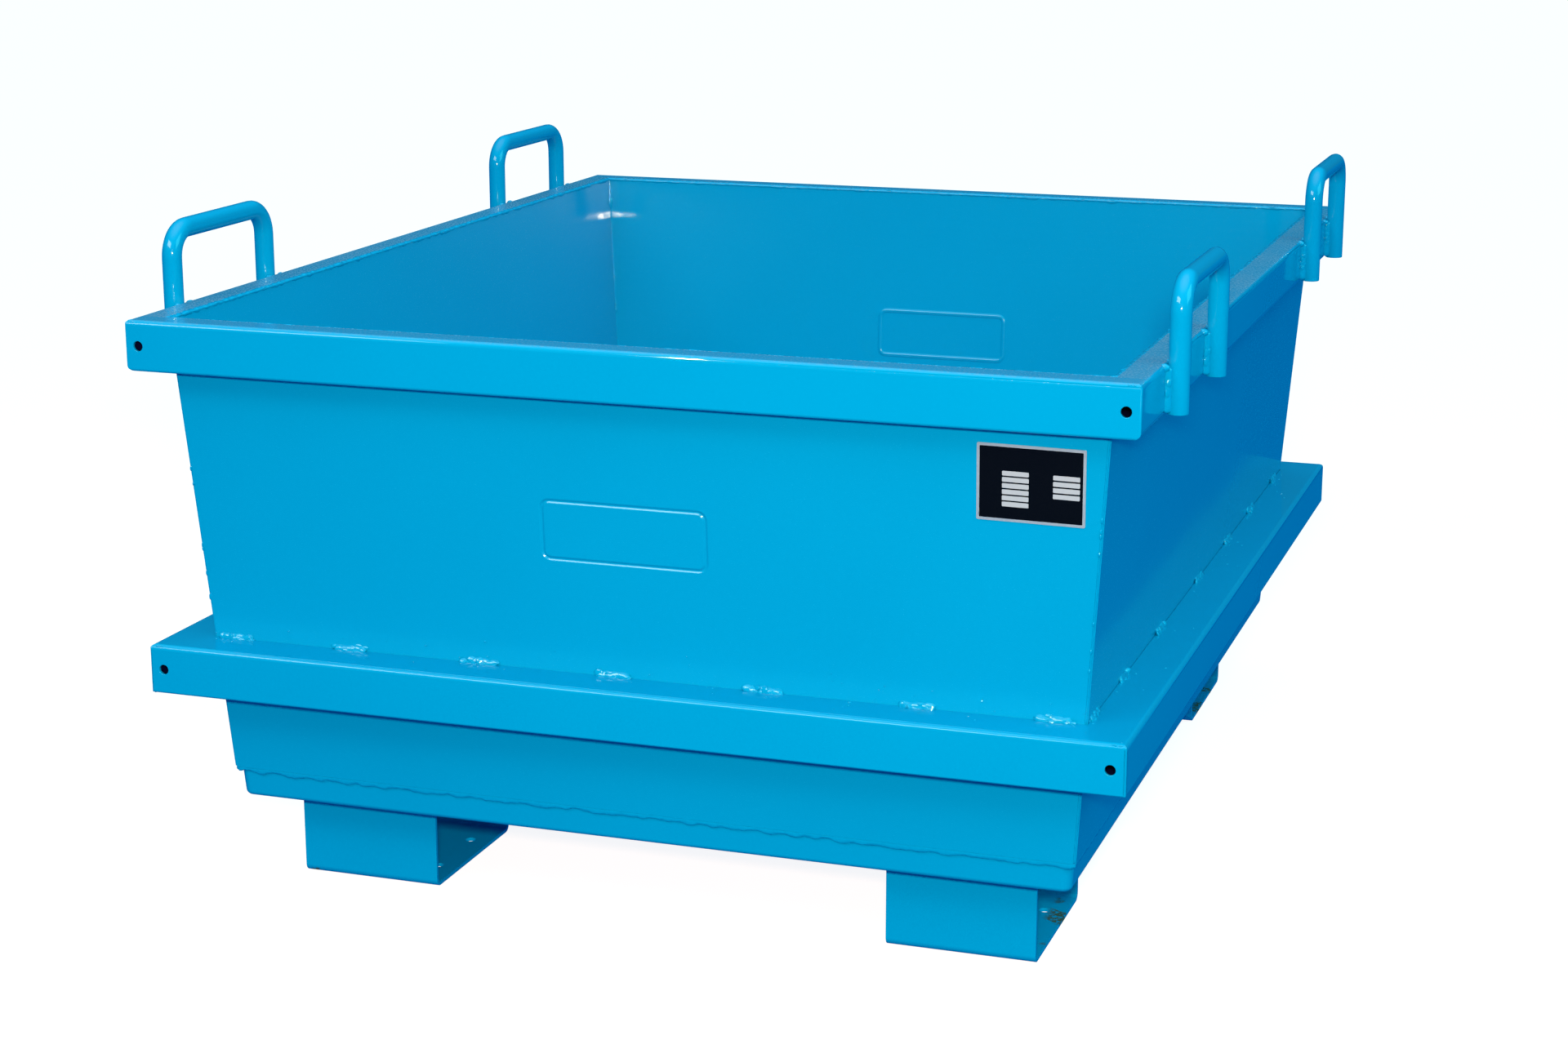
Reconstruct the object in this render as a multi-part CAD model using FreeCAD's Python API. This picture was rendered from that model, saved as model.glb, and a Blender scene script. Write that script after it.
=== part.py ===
"""Universal steel container: a welded, tapered sheet-steel trough that nests and stacks.

Millimetres, +Z up. The origin is on the ground, at the middle of the container's plan.
+X is to the right and -Y is towards the viewer who faces the type plate.
"""
import FreeCAD
import Part
import math
import os
from FreeCAD import Vector

os.makedirs("parts", exist_ok=True)

# Whole container: outer size over the rim, and height from the ground to the rim's top
size_x = 1000.0
size_y = 1200.0
body_height = 595.0
sheet = 2.5                  # sheet of the walls and of the floor pan
overrun = 20.0               # how far a cutting tool runs past what it cuts

# Rim: four rectangular tubes with mitred corners round the top of the trough
rim_tube_width = 30.0
rim_tube_height = 50.0
tube_wall = 3.0
tube_corner = 6.0            # outside radius of the tubes' long edges

# Stacking frame: four tubes round the trough, which sit on the rim of the container below
frame_inset = 5.0            # from the rim's outer face to the frame's outer face
frame_tube_width = 47.0
frame_tube_height = 50.0
frame_bottom_z = 217.0
frame_fit = 0.5              # play between the frame and the sloping walls

# Vent holes that let the hot gases out of the closed tubes while they are welded
vent_diameter = 10.0
vent_inset = 14.0            # from the outer end of a tube to the hole's axis

# Floor pan: one sheet with its four edges turned up behind the walls
foot_height = 95.0           # from the ground to the pan's underside
pan_band = 32.0              # height of the pan that shows below the walls
pan_lap = 20.0               # height of the pan that is hidden behind the walls
pan_fit = 1.0                # play between the turned-up edge and the wall
pan_bend = 5.0               # outside radius of the bends

# Feet: U-shaped channels, open to the left and right as fork pockets
foot_size_x = 150.0
foot_size_y = 180.0
foot_sheet = 4.0
foot_bend = 8.0
foot_inset_x = 110.0         # from the rim's outer face to the foot's outer end
foot_inset_y = 115.0         # from the rim's outer face to the foot's outer flange
castor_pitch_x = 105.0       # bolt holes in the web of each foot, for a castor's top plate
castor_pitch_y = 80.0
castor_hole = 11.0

# Crane eyes: U-bent round bars, welded upright to the outer face of the rim
eye_bar = 20.0
eye_pitch = 188.0            # between the axes of the two legs
eye_rise = 81.0              # from the rim's top to the top of the bar
eye_lap = 47.0               # from the rim's top down to the end of a leg
eye_bend = 28.0              # radius of the bar's axis in the two bends
eye_inset_y = 206.0          # from the end of the container to the middle of an eye
eye_bend_runs = 4            # short straight runs that make up each bend

# Pressed panel in the front and in the back wall: a groove that runs round a bare field
panel_size_x = 166.0
panel_height = 58.0
panel_corner = 8.0
panel_centre_z = 410.0
bead_width = 5.0             # of the groove in the wall's outer face
bead_floor = 1.5             # of the groove's floor
bead_depth = 1.2             # how deep it is pressed in

# Type plate on the front wall
plate_size_x = 100.0
plate_height = 72.0
plate_sheet = 1.0
plate_corner = 1.5
plate_side_inset = 56.5      # from the rim's outer face to the plate's right edge
plate_top_drop = 69.0        # from the rim's top to the plate's upper edge

# Welds
wall_top_drop = 1.0          # the walls end this far below the rim's top
rim_seam_toe = 60.0          # degrees round the tubes' edge, from their inner face to the seam's toe
rim_seam_root = 25.0         # and to its root
rim_seam_crown = 0.5         # how far its face bulges out
pan_seam_leg = 4.0
stitch_length = 35.0
stitch_rise = 6.0            # height of a stitch on the wall
stitch_reach = 7.0           # how far a stitch reaches over the frame, from its inner face
stitch_crown = 1.4           # how far its face bulges out
eye_weld_reach = 5.0         # how far the weld runs onto the rim's face, beside the bar
eye_weld_height = 8.0        # how far it climbs up the bar, away from the rim's face
eye_weld_margin = 4.0        # left bare at the foot of a leg
eye_weld_crown = 1.0         # how far the weld stands above the rim's top
foot_weld_leg = 5.0
foot_weld_margin = 15.0      # left bare at both ends of a foot's flange

# Middles of the stitches, as shares of half the run that they hold
front_stitch_shares = [-0.94, -0.66, -0.345, -0.035, 0.31, 0.64, 0.93]
side_stitch_shares = [-0.95, -0.72, -0.405, -0.02, 0.30, 0.58, 0.88]

# Places worked out from the sizes above
half_x = size_x / 2
half_y = size_y / 2
rim_bottom_z = body_height - rim_tube_height
frame_top_z = frame_bottom_z + frame_tube_height
frame_half_x = half_x - frame_inset
frame_half_y = half_y - frame_inset
wall_bottom_z = foot_height + pan_band
wall_top_z = body_height - wall_top_drop
pan_top_z = wall_bottom_z + pan_lap

# The walls lie against the round inner top edge of the rim's tubes, and pass the same edge of
# the stacking frame with a little play. That gives their slope.
rim_touch_z = body_height - tube_corner
frame_touch_z = frame_top_z - tube_corner
frame_touch_inset = frame_inset + frame_tube_width + frame_fit
wall_slope = (frame_touch_inset - rim_tube_width) / (rim_touch_z - frame_touch_z)
wall_lean = math.atan(wall_slope)
sheet_run = sheet / math.cos(wall_lean)      # thickness of a wall, measured level
edge_relief = tube_corner / math.cos(wall_lean) - tube_corner    # a leaning face touches a round edge higher up


def wall_inset(z):
    """Level distance from the rim's outer face to the wall's outer face at a height."""
    return rim_tube_width + edge_relief + wall_slope * (rim_touch_z - z)


def pan_inset(z):
    """Level distance from the rim's outer face to the pan's outer face at a height."""
    return wall_inset(z) + sheet_run + pan_fit


def polygon_face(corners):
    return Part.Face(Part.makePolygon(corners + corners[:1]))


def tapered_block(z0, sides0, z1, sides1):
    """Solid with flat sides between two level rectangles, each given as (x0, x1, y0, y1)."""
    low, high = [], []
    for z, (x0, x1, y0, y1), ring in ((z0, sides0, low), (z1, sides1, high)):
        ring += [Vector(x0, y0, z), Vector(x1, y0, z), Vector(x1, y1, z), Vector(x0, y1, z)]
    faces = [low, high]
    for k in range(4):
        m = (k + 1) % 4
        faces.append([low[k], low[m], high[m], high[k]])
    return Part.Solid(Part.Shell([polygon_face(corners) for corners in faces]))


def closed_face(edges):
    """Face from edges that follow each other."""
    return Part.Face(Part.Wire(edges))


def line(a, b):
    return Part.makeLine(a, b)


def arc(a, through, b):
    return Part.Arc(a, through, b).toShape()


def spread(shape, side):
    """Turn a shape that was made for the front so that it stands at the named side."""
    turned = shape.copy()
    turned.rotate(Vector(0, 0, 0), Vector(0, 0, 1), {"front": 0, "right": 90, "back": 180, "left": 270}[side])
    return turned


def run_sizes(side, run_x, run_y):
    """Half of a side's run, and the distance of its outer face from the middle."""
    if side in ("front", "back"):
        return run_x, run_y
    return run_y, run_x


def mitred_run(section, side, outer_x, outer_y, depth):
    """Extrude a section along one side of a rectangle and mitre both ends.

    The section is a list of edges in (inward distance, height), as Vectors (0, inward, height),
    and depth is more than its inward reach.
    """
    half_run, stand = run_sizes(side, outer_x, outer_y)
    face = closed_face(section)
    face.translate(Vector(-half_run, -stand, 0))
    bar = face.extrude(Vector(half_run + half_run, 0, 0))
    box = bar.BoundBox
    corners = [Vector(-half_run, -stand, box.ZMin - overrun), Vector(half_run, -stand, box.ZMin - overrun),
               Vector(half_run - depth, depth - stand, box.ZMin - overrun),
               Vector(depth - half_run, depth - stand, box.ZMin - overrun)]
    mask = polygon_face(corners).extrude(Vector(0, 0, box.ZLength + overrun + overrun))
    return spread(bar.common(mask), side)


def rounded_section(y0, y1, z0, z1, radius):
    """Edges of a rectangle with round corners, in the plane of a tube's section."""
    bow = radius * (1 - math.sqrt(0.5))
    edges = []
    corners = [(y0, z0, 1, 1), (y1, z0, -1, 1), (y1, z1, -1, -1), (y0, z1, 1, -1)]
    ends = []
    for y, z, sy, sz in corners:
        on_z = Vector(0, y, z + sz * radius)
        on_y = Vector(0, y + sy * radius, z)
        middle = Vector(0, y + sy * bow, z + sz * bow)
        first, last = (on_z, on_y) if sy == sz else (on_y, on_z)
        ends.append((first, middle, last))
    for k, (first, middle, last) in enumerate(ends):
        edges.append(arc(first, middle, last))
        edges.append(line(last, ends[(k + 1) % len(ends)][0]))
    return edges


def tube_envelope(side, outer_x, outer_y, width, z0, z1):
    """A mitred tube as if it were solid."""
    section = rounded_section(0, width, z0, z1, tube_corner)
    return mitred_run(section, side, outer_x, outer_y, width + overrun)


def tube(side, outer_x, outer_y, width, z0, z1):
    """A hollow mitred tube. The front and back ones have a vent hole near each end."""
    corners = [Vector(0, y, z) for y, z in ((tube_wall, z0 + tube_wall), (width - tube_wall, z0 + tube_wall),
                                            (width - tube_wall, z1 - tube_wall), (tube_wall, z1 - tube_wall))]
    bore = Part.makePolygon(corners + corners[:1]).Edges
    body = tube_envelope(side, outer_x, outer_y, width, z0, z1)
    body = body.cut(mitred_run(bore, side, outer_x, outer_y, width + overrun))
    if side in ("front", "back"):
        for end in (-1, 1):
            start = Vector(end * (outer_x - vent_inset), -outer_y - overrun, (z0 + z1) / 2)
            drill = Part.makeCylinder(vent_diameter / 2, overrun + width / 2, start, Vector(0, 1, 0))
            body = body.cut(spread(drill, side))
    return body


def lean_against_front(shape, x, z):
    """Move a shape made upright, with the wall's outer face as its plane y = 0, onto the wall."""
    placed = shape.copy()
    placed.rotate(Vector(0, 0, 0), Vector(1, 0, 0), math.degrees(wall_lean))
    placed.translate(Vector(x, wall_inset(z) - half_y, z))
    return placed


def rounded_plate(size, height, corner, y0, thickness):
    """Upright plate with round corners, centred on x = z = 0, starting at y0."""
    outline = rounded_section(-size / 2, size / 2, -height / 2, height / 2, corner)
    face = closed_face(outline)
    face.rotate(Vector(0, 0, 0), Vector(0, 0, 1), -90)
    face.translate(Vector(0, y0, 0))
    return face.extrude(Vector(0, thickness, 0))


def bead_ring(half0, y0, half1, y1):
    """Ring round the pressed panel: half as wide as half0 at y0, and as half1 at y1."""
    outline = Part.Wire(rounded_section(-panel_size_x / 2, panel_size_x / 2,
                                        -panel_height / 2, panel_height / 2, panel_corner))
    outline.rotate(Vector(0, 0, 0), Vector(0, 0, 1), -90)
    pieces = []
    for edge in outline.Edges:
        first, last = edge.ParameterRange
        start = edge.valueAt(first)
        across = edge.tangentAt(first).cross(Vector(0, 1, 0))
        section = polygon_face([start + across * half + Vector(0, y, 0)
                                for half, y in ((-half0, y0), (half0, y0), (half1, y1), (-half1, y1))])
        if isinstance(edge.Curve, Part.Circle):
            pieces.append(section.revolve(edge.Curve.Center, edge.Curve.Axis, math.degrees(last - first)))
        else:
            pieces.append(section.extrude(edge.valueAt(last) - start))
    return pieces[0].multiFuse(pieces[1:]).removeSplitter()


def pressed_panel(wall):
    """Press the groove into the wall's outer face and raise the same bead inside."""
    slope = (bead_width - bead_floor) / (bead_depth + bead_depth)   # of the flanks, sideways over inward
    spread_inside = sheet * math.tan(math.atan(1 / slope) / 2)      # keeps the sheet's thickness there
    half_floor = bead_floor / 2
    half_ridge = half_floor + spread_inside
    ridge = bead_ring(half_ridge + slope * (bead_depth + sheet / 2), sheet / 2, half_ridge, sheet + bead_depth)
    groove = bead_ring(half_floor + slope * (bead_depth + sheet), -sheet, half_floor, bead_depth)
    wall = wall.fuse(lean_against_front(ridge, 0, panel_centre_z)).removeSplitter()
    return wall.cut(lean_against_front(groove, 0, panel_centre_z))


def end_wall():
    """Front wall: a tapered sheet that covers the edges of the side walls."""
    def sides(z):
        inner_x = half_x - wall_inset(z) - sheet_run
        outer_y = half_y - wall_inset(z)
        return -inner_x, inner_x, -outer_y, sheet_run - outer_y
    wall = tapered_block(wall_bottom_z, sides(wall_bottom_z), wall_top_z, sides(wall_top_z))
    return pressed_panel(wall)


def side_wall():
    """Right wall: a plain tapered sheet between the front and the back wall."""
    def sides(z):
        outer_x = half_x - wall_inset(z)
        inner_y = half_y - wall_inset(z) - sheet_run
        return outer_x - sheet_run, outer_x, -inner_y, inner_y
    return tapered_block(wall_bottom_z, sides(wall_bottom_z), wall_top_z, sides(wall_top_z))


def corner_seam(sign_x, sign_y):
    """Upright weld that fills the notch between an end wall and a side wall."""
    wires = []
    for z in (wall_bottom_z, wall_top_z):
        x = sign_x * (half_x - wall_inset(z) - sheet_run)
        y = sign_y * (half_y - wall_inset(z) - sheet_run)
        root = Vector(x, y, z)
        on_x = Vector(x + sign_x * sheet_run, y, z)
        on_y = Vector(x, y + sign_y * sheet_run, z)
        slant = sheet_run * math.sqrt(0.5)
        crown = Vector(x + sign_x * slant, y + sign_y * slant, z)
        wires.append(Part.Wire([line(root, on_x), arc(on_x, crown, on_y), line(on_y, root)]))
    return Part.makeLoft(wires, True, True)


def pan_section():
    """Section of the pan's turned-up edge with its bend and a strip of the bottom."""
    def face_line(inward, z):
        return Vector(0, pan_inset(z) + inward, z)
    # The bend is tangent to the bottom and to the sloping edge
    turn = math.pi / 2 + wall_lean
    centre = Vector(0, pan_inset(foot_height) + pan_bend * math.tan(turn / 2), foot_height + pan_bend)
    def on_bend(radius, angle):
        return centre + Vector(0, -radius * math.sin(angle), -radius * math.cos(angle))
    outer, inner = pan_bend, pan_bend - sheet
    bottom_end = centre + Vector(0, pan_bend, 0)
    outside = [line(face_line(0, pan_top_z), on_bend(outer, turn)),
               arc(on_bend(outer, turn), on_bend(outer, turn / 2), on_bend(outer, 0)),
               line(on_bend(outer, 0), Vector(0, bottom_end.y, foot_height))]
    inside = [line(Vector(0, bottom_end.y, foot_height), Vector(0, bottom_end.y, foot_height + sheet)),
              line(Vector(0, bottom_end.y, foot_height + sheet), on_bend(inner, 0)),
              arc(on_bend(inner, 0), on_bend(inner, turn / 2), on_bend(inner, turn)),
              line(on_bend(inner, turn), face_line(sheet_run, pan_top_z)),
              line(face_line(sheet_run, pan_top_z), face_line(0, pan_top_z))]
    return outside + inside, bottom_end.y


def floor_pan():
    """The four turned-up edges meet at mitred, welded corners."""
    section, reach = pan_section()
    runs = [mitred_run(section, side, half_x, half_y, reach + overrun) for side in sides_round]
    bottom = Part.makeBox(size_x - reach - reach, size_y - reach - reach, sheet,
                          Vector(reach - half_x, reach - half_y, foot_height))
    return bottom.multiFuse(runs).removeSplitter()


def foot():
    """Front right foot: a sheet bent to a U, with its web on the ground."""
    z1 = foot_height
    outside = rounded_section(0, foot_size_y, 0, z1 + overrun, foot_bend)
    bore = rounded_section(foot_sheet, foot_size_y - foot_sheet, foot_sheet, z1 + overrun + overrun,
                           foot_bend - foot_sheet)
    body = closed_face(outside).cut(closed_face(bore)).extrude(Vector(foot_size_x, 0, 0))
    body = body.common(Part.makeBox(foot_size_x, foot_size_y, z1))
    for k in (-1, 1):
        for m in (-1, 1):
            x = foot_size_x / 2 + k * castor_pitch_x / 2
            y = foot_size_y / 2 + m * castor_pitch_y / 2
            body = body.cut(Part.makeCylinder(castor_hole / 2, foot_sheet + overrun, Vector(x, y, -overrun / 2)))
    body.translate(Vector(half_x - foot_inset_x - foot_size_x, foot_inset_y - half_y, 0))
    return body


def crane_eye():
    """Front right eye: a round bar bent twice. Short straight runs make up the bends."""
    x = half_x + eye_bar / 2
    middle = eye_inset_y - half_y
    foot_z = body_height - eye_lap
    bend_z = body_height + eye_rise - eye_bar / 2 - eye_bend
    step = math.pi / 2 / eye_bend_runs
    reach = eye_bend / math.cos(step / 2)
    route = [Vector(x, middle - eye_pitch / 2, foot_z)]
    for flank, start in ((-1, math.pi), (1, math.pi / 2)):
        centre_y = middle + flank * (eye_pitch / 2 - eye_bend)
        for k in range(eye_bend_runs):
            angle = start - step * (k + 1 / 2)
            route.append(Vector(x, centre_y + reach * math.cos(angle), bend_z + reach * math.sin(angle)))
    route.append(Vector(x, middle + eye_pitch / 2, foot_z))
    section = Part.Wire(Part.makeCircle(eye_bar / 2, route[0], Vector(0, 0, 1)))
    return Part.makePolygon(route).makePipeShell([section], True, False, 1)


def eye_welds(eye, rim):
    """Upright welds on both sides of both legs of the front right eye."""
    z0 = body_height - eye_lap + eye_weld_margin
    height = body_height + eye_weld_crown - z0
    solids = []
    for leg in (-1, 1):
        y_leg = eye_inset_y - half_y + leg * eye_pitch / 2
        for flank in (-1, 1):
            toe = y_leg + flank * (eye_bar / 2 + eye_weld_reach)
            corners = [Vector(half_x - tube_corner, y_leg, z0), Vector(half_x - tube_corner, toe, z0),
                       Vector(half_x, toe, z0), Vector(half_x + eye_weld_height, y_leg + flank * eye_bar / 2, z0),
                       Vector(half_x + eye_weld_height, y_leg, z0)]
            weld = polygon_face(corners).extrude(Vector(0, 0, height))
            pieces = weld.cut(rim).cut(eye).Solids
            solids.append(max(pieces, key=lambda piece: piece.Volume))
    return solids


def mirrored(shape, flip_x, flip_y):
    """Copy of a front right piece for another corner of the container."""
    if flip_x:
        shape = shape.mirror(Vector(0, 0, 0), Vector(1, 0, 0))
    if flip_y:
        shape = shape.mirror(Vector(0, 0, 0), Vector(0, 1, 0))
    return shape


def rim_seam():
    """Weld that runs all the way round, in the groove between the walls and the tubes' round edge.

    It stays below the rim's top, where another container rests.
    """
    def on_tube(degrees):
        angle = math.radians(degrees)
        return Vector(0, rim_tube_width - tube_corner + tube_corner * math.cos(angle),
                      rim_touch_z + tube_corner * math.sin(angle))
    at_top = wall_inset(wall_top_z)
    inner = Vector(0, at_top + sheet_run, wall_top_z)
    outer = Vector(0, at_top, wall_top_z)
    toe, root = on_tube(rim_seam_toe), on_tube(rim_seam_root)
    on_wall = Vector(0, wall_inset(root.z), root.z)
    outward = Vector(0, toe.z - inner.z, inner.y - toe.y).normalize()
    crown = (inner + toe) / 2 + outward * rim_seam_crown
    section = [arc(inner, crown, toe), arc(toe, on_tube((rim_seam_toe + rim_seam_root) / 2), root),
               line(root, on_wall), line(on_wall, outer), line(outer, inner)]
    runs = [mitred_run(section, side, half_x, half_y, rim_tube_width + overrun) for side in sides_round]
    return runs[0].multiFuse(runs[1:]).removeSplitter()


def pan_seam():
    """Weld that runs all the way round under the lower edge of the walls."""
    low = wall_bottom_z - pan_seam_leg
    edge = Vector(0, wall_inset(wall_bottom_z), wall_bottom_z)
    root = Vector(0, pan_inset(wall_bottom_z), wall_bottom_z)
    toe = Vector(0, pan_inset(low), low)
    section = [line(edge, root), line(root, toe), line(toe, edge)]
    runs = [mitred_run(section, side, half_x, half_y, toe.y + overrun) for side in sides_round]
    return runs[0].multiFuse(runs[1:]).removeSplitter()


def stitch_section():
    """Section of a stitch that ties the stacking frame's top to the wall."""
    wall_high = Vector(0, wall_inset(frame_top_z + stitch_rise), frame_top_z + stitch_rise)
    wall_low = Vector(0, wall_inset(frame_touch_z), frame_touch_z)
    toe = Vector(0, frame_inset + frame_tube_width - stitch_reach, frame_top_z)
    under = Vector(0, toe.y, frame_touch_z)
    middle = (wall_high + toe) * 0.5
    across = (wall_high - toe)
    outward = Vector(0, -across.z, across.y).normalize()
    crown = middle + outward * stitch_crown
    return Part.makePolygon([wall_high, crown, toe, under, wall_low, wall_high]).Edges


def frame_stitches(side, shares, envelope):
    """Short welds in a row along one side of the stacking frame."""
    half_run, stand = run_sizes(side, half_x, half_y)
    half_wall = half_run - wall_inset(frame_top_z)
    solids = []
    for share in shares:
        face = closed_face(stitch_section())
        face.translate(Vector(share * half_wall - stitch_length / 2, -stand, 0))
        stitch = spread(face.extrude(Vector(stitch_length, 0, 0)), side)
        solids += stitch.cut(envelope).Solids
    return solids


def foot_welds():
    """Welds between the outer faces of a front right foot's flanges and the pan."""
    x0 = half_x - foot_inset_x - foot_size_x + foot_weld_margin
    length = foot_size_x - foot_weld_margin - foot_weld_margin
    y_front = foot_inset_y - half_y
    solids = []
    for y, away in ((y_front, -1), (y_front + foot_size_y, 1)):
        corners = [Vector(x0, y, foot_height), Vector(x0, y + away * foot_weld_leg, foot_height),
                   Vector(x0, y, foot_height - foot_weld_leg)]
        solids.append(polygon_face(corners).extrude(Vector(length, 0, 0)))
    return solids


def type_plate():
    plate = rounded_plate(plate_size_x, plate_height, plate_corner, -plate_sheet, plate_sheet)
    x = half_x - plate_side_inset - plate_size_x / 2
    z = body_height - plate_top_drop - plate_height / 2
    return lean_against_front(plate, x, z)


sides_round = ["front", "right", "back", "left"]
nodes = {}

# The trough
nodes["front_wall"] = end_wall()
nodes["back_wall"] = spread(nodes["front_wall"], "back")
nodes["right_wall"] = side_wall()
nodes["left_wall"] = mirrored(nodes["right_wall"], True, False)
nodes["floor_pan"] = floor_pan()

# Rim and stacking frame
for side in sides_round:
    nodes["rim_tube_" + side] = tube(side, half_x, half_y, rim_tube_width, rim_bottom_z, body_height)
    nodes["frame_tube_" + side] = tube(side, frame_half_x, frame_half_y, frame_tube_width,
                                       frame_bottom_z, frame_top_z)
rim_right = tube_envelope("right", half_x, half_y, rim_tube_width, rim_bottom_z, body_height)
frame_solid = {side: tube_envelope(side, frame_half_x, frame_half_y, frame_tube_width,
                                   frame_bottom_z, frame_top_z) for side in sides_round}

# Feet and crane eyes, one of each at every corner
corners_round = {"front_right": (False, False), "front_left": (True, False),
                 "back_right": (False, True), "back_left": (True, True)}
right_foot = foot()
right_eye = crane_eye()
right_eye_welds = eye_welds(right_eye, rim_right)
right_foot_welds = foot_welds()
eye_weld_group = []
foot_weld_group = []
for corner, (flip_x, flip_y) in corners_round.items():
    nodes["foot_" + corner] = mirrored(right_foot, flip_x, flip_y)
    nodes["crane_eye_" + corner] = mirrored(right_eye, flip_x, flip_y)
    eye_weld_group += [mirrored(s, flip_x, flip_y) for s in right_eye_welds]
    foot_weld_group += [mirrored(s, flip_x, flip_y) for s in right_foot_welds]

# Welds
nodes["rim_seam_weld"] = rim_seam()
nodes["pan_seam_weld"] = pan_seam()
nodes["corner_seam_welds"] = Part.makeCompound([corner_seam(sx, sy) for sx in (-1, 1) for sy in (-1, 1)])
for side in sides_round:
    shares = front_stitch_shares if side in ("front", "back") else side_stitch_shares
    nodes["frame_stitch_welds_" + side] = Part.makeCompound(frame_stitches(side, shares, frame_solid[side]))
nodes["crane_eye_welds"] = Part.makeCompound(eye_weld_group)
nodes["foot_welds"] = Part.makeCompound(foot_weld_group)

nodes["type_plate"] = type_plate()

for name, shape in nodes.items():
    shape.exportStep("parts/" + name + ".step")
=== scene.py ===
import bmesh
import bpy
import math
import random
from mathutils import Matrix, Vector


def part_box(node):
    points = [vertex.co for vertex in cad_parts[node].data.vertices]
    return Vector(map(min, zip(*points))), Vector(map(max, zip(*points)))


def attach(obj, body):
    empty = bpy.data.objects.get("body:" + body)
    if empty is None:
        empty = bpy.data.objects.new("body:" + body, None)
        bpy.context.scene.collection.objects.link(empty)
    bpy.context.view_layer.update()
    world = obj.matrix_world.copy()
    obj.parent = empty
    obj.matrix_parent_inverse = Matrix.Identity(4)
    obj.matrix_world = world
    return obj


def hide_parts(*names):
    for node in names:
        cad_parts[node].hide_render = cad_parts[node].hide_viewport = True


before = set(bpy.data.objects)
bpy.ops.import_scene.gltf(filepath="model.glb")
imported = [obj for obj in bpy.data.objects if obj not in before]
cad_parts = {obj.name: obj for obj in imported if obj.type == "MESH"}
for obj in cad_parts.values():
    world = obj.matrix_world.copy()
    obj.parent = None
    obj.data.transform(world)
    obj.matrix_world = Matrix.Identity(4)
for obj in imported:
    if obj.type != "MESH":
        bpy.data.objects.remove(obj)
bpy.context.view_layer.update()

# Front and back walls of the trough: cut from 2.5 mm steel sheet, leaning outwards, with a groove
# pressed round a bare field in the middle. The back wall is the front one turned round. All the
# steel is finished in one high-gloss light blue enamel, sprayed on after the welding.

sheet = 0.0025
cut_edge = 0.0004            # rounding of a sheared edge
sharp = math.radians(60)     # edges that turn by more than this are rounded
field_width = 0.171          # over the middle of the groove's outer flank
field_height = 0.063
field_corner = 0.0105
field_middle_z = 0.410
groove_width = 0.0055
groove_depth = 0.0013
groove_steps = 10
enamel_light = (0.0, 0.306, 0.552, 1.0)
enamel_deep = (0.0, 0.274, 0.508, 1.0)
enamel_gloss = 0.05
sheet_gloss = 0.12           # the broad sheets mirror less sharply than tubes and bars
enamel_density = 1.6         # refractive index
cloud_per_metre = 6.0        # slow changes of shade, and fine ones among them
fleck_per_metre = 240.0
cloud_share = 0.6
cloud_dullness = 0.03
peel_depth = 0.000012        # orange peel
peel_per_metre = 230.0
buckle_depth = 0.0011        # slow waves of the sheet
buckle_per_metre = 4.5
speck_per_metre = 1300.0     # specks of dust that dried into the enamel
speck_levels = (0.66, 0.74)
speck_depth = 0.000002
speck_dullness = 0.15
weld_pull = 0.00042          # the welds have drawn the sheets in at the upper corners
pull_z = (0.541, 0.553)      # heights between which the pull sets in
pull_reach = (0.060, 0.030)  # and distances from the corner
pull_polish = 0.34           # the stretched edge of the pulled patch is brighter


class Level:
    """A number or colour that runs through the nodes, so that sums of them read as sums."""

    def __init__(self, nodes, socket):
        self.nodes = nodes
        self.socket = socket

    def worked(self, operation, first, second):
        return self.nodes.node("ShaderNodeMath", {"operation": operation}, {0: first, 1: second})

    def __add__(self, other):
        return self.worked("ADD", self, other)

    def __sub__(self, other):
        return self.worked("SUBTRACT", self, other)

    def __rsub__(self, other):
        return self.worked("SUBTRACT", other, self)

    def __mul__(self, other):
        return self.worked("MULTIPLY", self, other)

    __radd__ = __add__
    __rmul__ = __mul__


class Nodes:
    """The nodes of one finish, or of the surroundings."""

    def __init__(self, tree):
        self.tree = tree

    def node(self, kind, settings=None, sockets=None, out=0):
        """Add a node with its settings, and with values or levels for its sockets."""
        made = self.tree.nodes.new(kind)
        for key, value in (settings or {}).items():
            if key == "stops":
                stops = made.color_ramp.elements
                stops.remove(stops[-1])
                stops[0].position, stops[0].color = value[0]
                for position, colour in value[1:]:
                    stops.new(position).color = colour
            else:
                setattr(made, key, value)
        self.join(made, sockets or {})
        return Level(self, made.outputs[out])

    def join(self, node, sockets):
        """Give sockets of a node their values, or link them to levels."""
        for key, value in sockets.items():
            if isinstance(value, Level):
                self.tree.links.new(value.socket, node.inputs[key])
            else:
                node.inputs[key].default_value = value


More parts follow.
